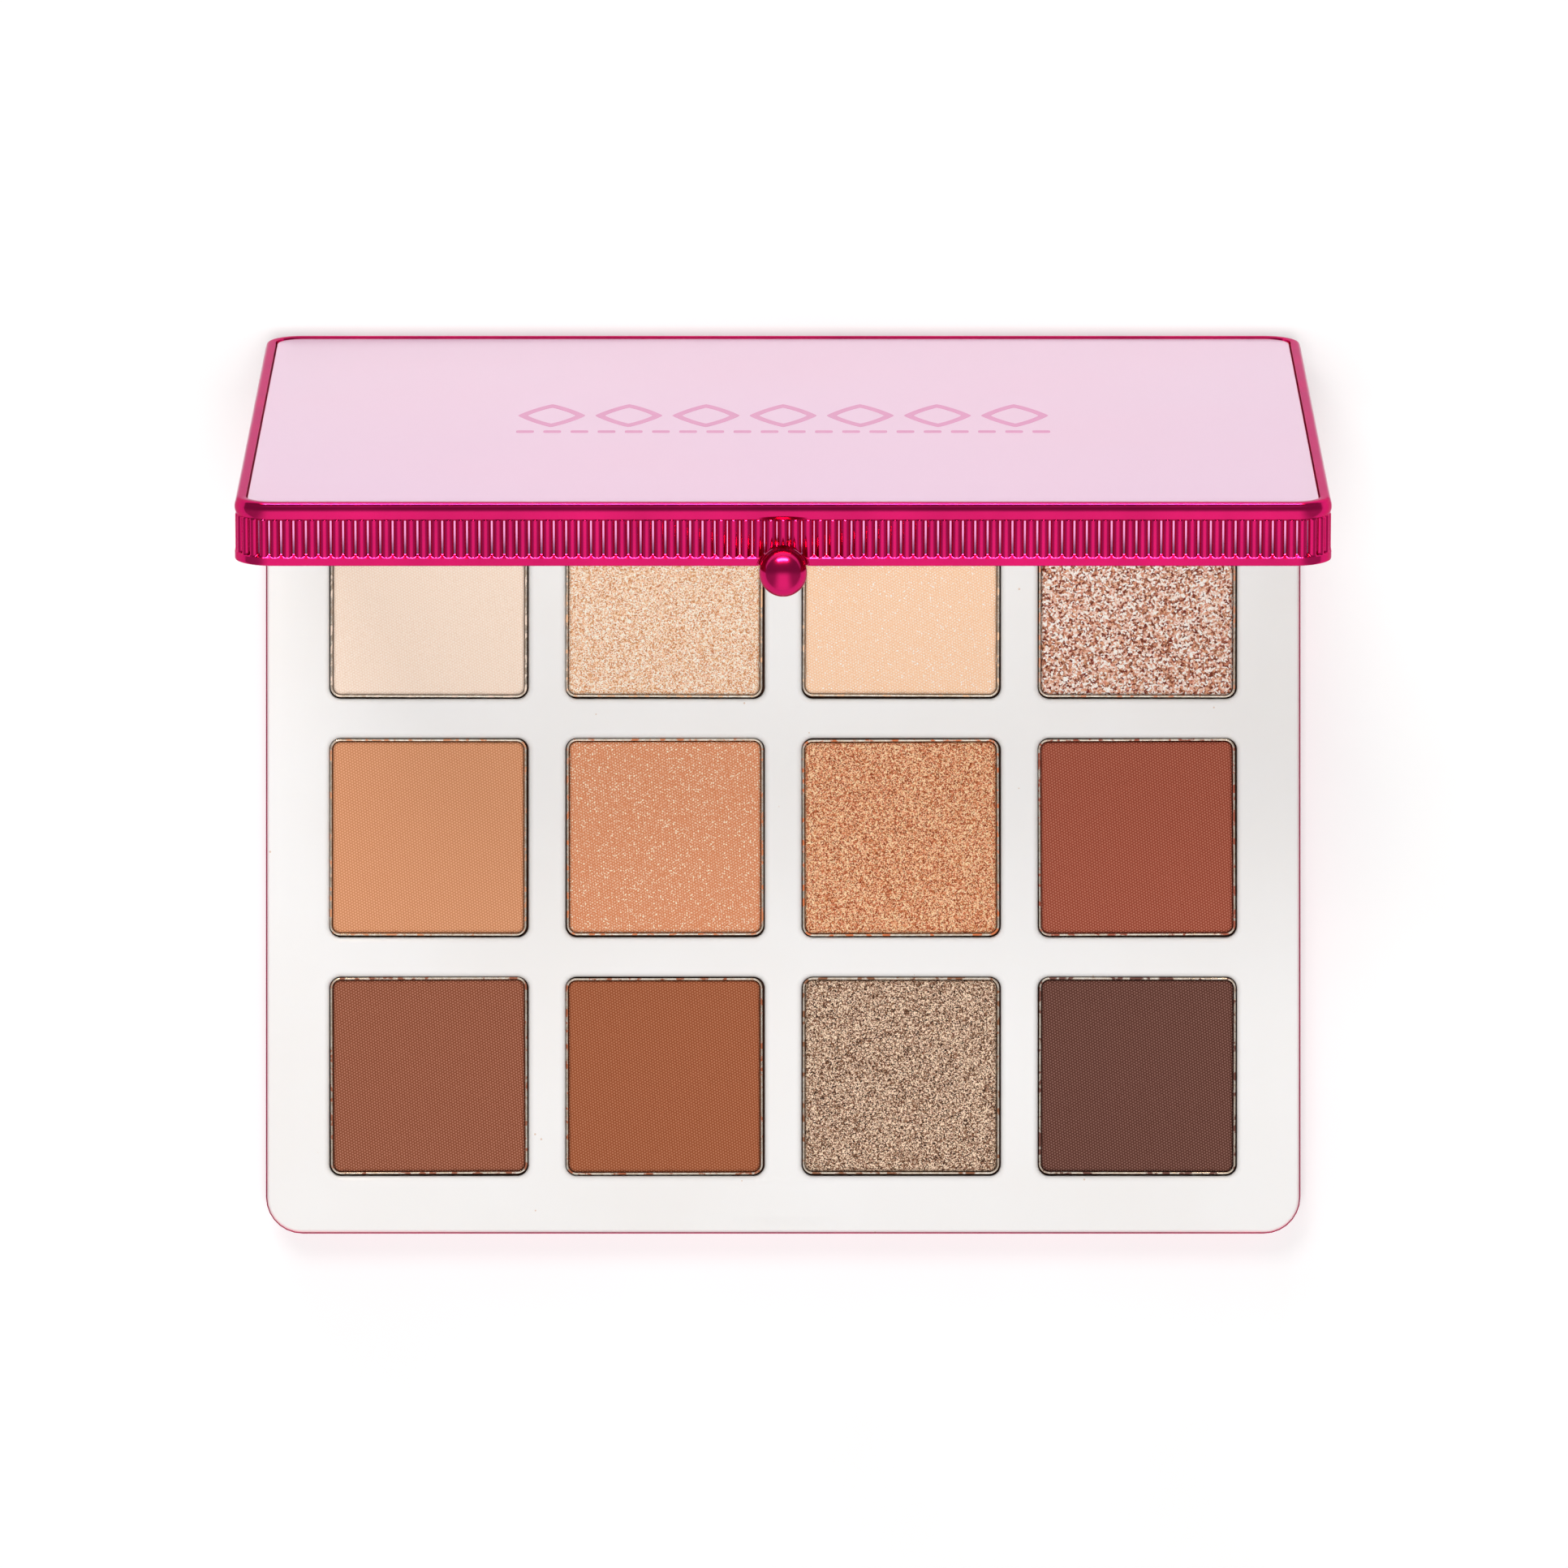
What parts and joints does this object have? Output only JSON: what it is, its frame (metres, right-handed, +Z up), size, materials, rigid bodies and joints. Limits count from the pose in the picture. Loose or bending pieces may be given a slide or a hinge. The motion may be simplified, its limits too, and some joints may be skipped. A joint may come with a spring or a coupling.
{
  "type": "eyeshadow palette",
  "caption": "Flat rectangular eyeshadow palette with square pressed-powder pans in a white tray and a ribbed lid on a rear friction hinge, with an inner mirror and a ball clasp.",
  "frame": {"origin": "centre of the base's flat underside", "axes": "+X to the user's right along the hinge, -Y towards the user at the clasp side, +Z up out of the pans"},
  "size_m": [0.127, 0.1103, 0.1092],
  "materials": {
    "base_metallised": "magenta metallised gloss",
    "lid_metallised": "magenta metallised gloss",
    "ball_metallised": "magenta metallised gloss",
    "panel_pink": "pale pink gloss",
    "tray_white": "white satin gloss",
    "liner_white": "white satin gloss",
    "pan_tinplate": "bright tinplate",
    "pin_steel": "drawn steel",
    "magnet_nickel": "nickel plated",
    "mirror_glass": "silvered glass",
    "tape_foam": "white foam tape",
    "powder_rear_1": "pressed powder, fine satin",
    "powder_rear_2": "pressed powder, champagne shimmer",
    "powder_rear_3": "pressed powder, peach satin with sparkle",
    "powder_rear_4": "pressed powder, coarse glitter",
    "powder_middle_1": "pressed powder, matte",
    "powder_middle_2": "pressed powder, coral with gold sparkle",
    "powder_middle_3": "pressed powder, copper shimmer",
    "powder_middle_4": "pressed powder, matte",
    "powder_front_1": "pressed powder, matte",
    "powder_front_2": "pressed powder, matte",
    "powder_front_3": "pressed powder, taupe glitter",
    "powder_front_4": "pressed powder, matte"
  },
  "bodies": {
    "base": {"base_shell": "base_metallised", "pan_tray": "tray_white", "pan_rear_1": "pan_tinplate", "pan_rear_2": "pan_tinplate", "pan_rear_3": "pan_tinplate", "pan_rear_4": "pan_tinplate", "pan_middle_1": "pan_tinplate", "pan_middle_2": "pan_tinplate", "pan_middle_3": "pan_tinplate", "pan_middle_4": "pan_tinplate", "pan_front_1": "pan_tinplate", "pan_front_2": "pan_tinplate", "pan_front_3": "pan_tinplate", "pan_front_4": "pan_tinplate", "cake_rear_1": "powder_rear_1", "cake_rear_2": "powder_rear_2", "cake_rear_3": "powder_rear_3", "cake_rear_4": "powder_rear_4", "cake_middle_1": "powder_middle_1", "cake_middle_2": "powder_middle_2", "cake_middle_3": "powder_middle_3", "cake_middle_4": "powder_middle_4", "cake_front_1": "powder_front_1", "cake_front_2": "powder_front_2", "cake_front_3": "powder_front_3", "cake_front_4": "powder_front_4", "base_magnet": "magnet_nickel", "hinge_pin_left": "pin_steel", "hinge_pin_right": "pin_steel"},
    "lid": {"lid_frame": "lid_metallised", "lid_panel": "panel_pink", "lid_liner": "liner_white", "mirror_tape": "tape_foam", "mirror": "mirror_glass", "clasp_ball": "ball_metallised", "lid_magnet": "magnet_nickel"}
  },
  "joints": [
    {"name": "lid_hinge", "type": "hinge", "parent": "base", "child": "lid", "pos_m": [0, 0.0492, 0.0054], "axis": [-1, 0, 0], "range_deg": [-77, 41]}
  ]
}
